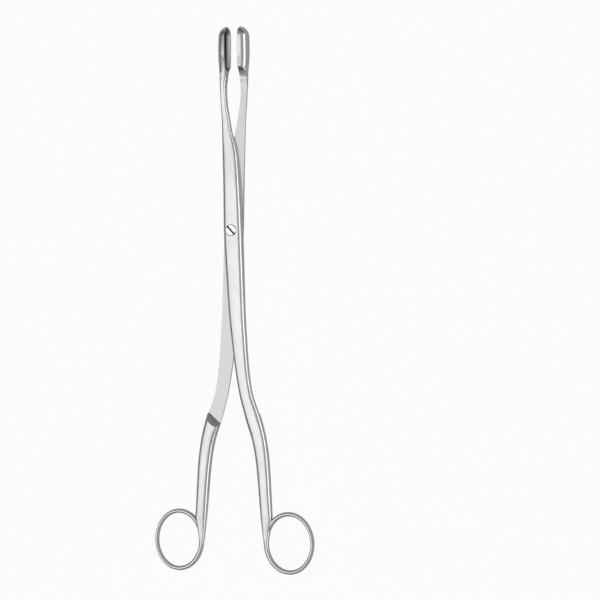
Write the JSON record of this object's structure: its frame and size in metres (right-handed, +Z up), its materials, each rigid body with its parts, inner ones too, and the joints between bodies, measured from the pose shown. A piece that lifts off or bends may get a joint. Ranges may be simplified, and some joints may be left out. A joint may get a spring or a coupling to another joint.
{
  "type": "ovum forceps",
  "caption": "Long steel forceps with hollow oval spoon jaws, lapped shanks crossing at a slotted screw, an S-bent handle to each side and oval finger rings.",
  "frame": {"origin": "on the axis of the joint screw, in the ground flat under the joint", "axes": "+Z up along the pivot's axis, +Y along the instrument towards the jaws, +X across it to the side of the front half's handle"},
  "size_m": [0.0878, 0.2792, 0.0098],
  "materials": {
    "forged_steel": "satin stainless steel, fine lengthwise grain on the tops and a dull flat grey on the lapped faces",
    "screw_steel": "turned stainless steel, ground bright on its face"
  },
  "bodies": {
    "back": {"back_half": "forged_steel", "joint_screw": "screw_steel"},
    "front": {"front_half": "forged_steel"}
  },
  "joints": [
    {"name": "jaw_pivot", "type": "hinge", "parent": "back", "child": "front", "pos_m": [0, 0, 0.0042], "axis": [0, 0, 1], "range_deg": [-4, 90]}
  ]
}
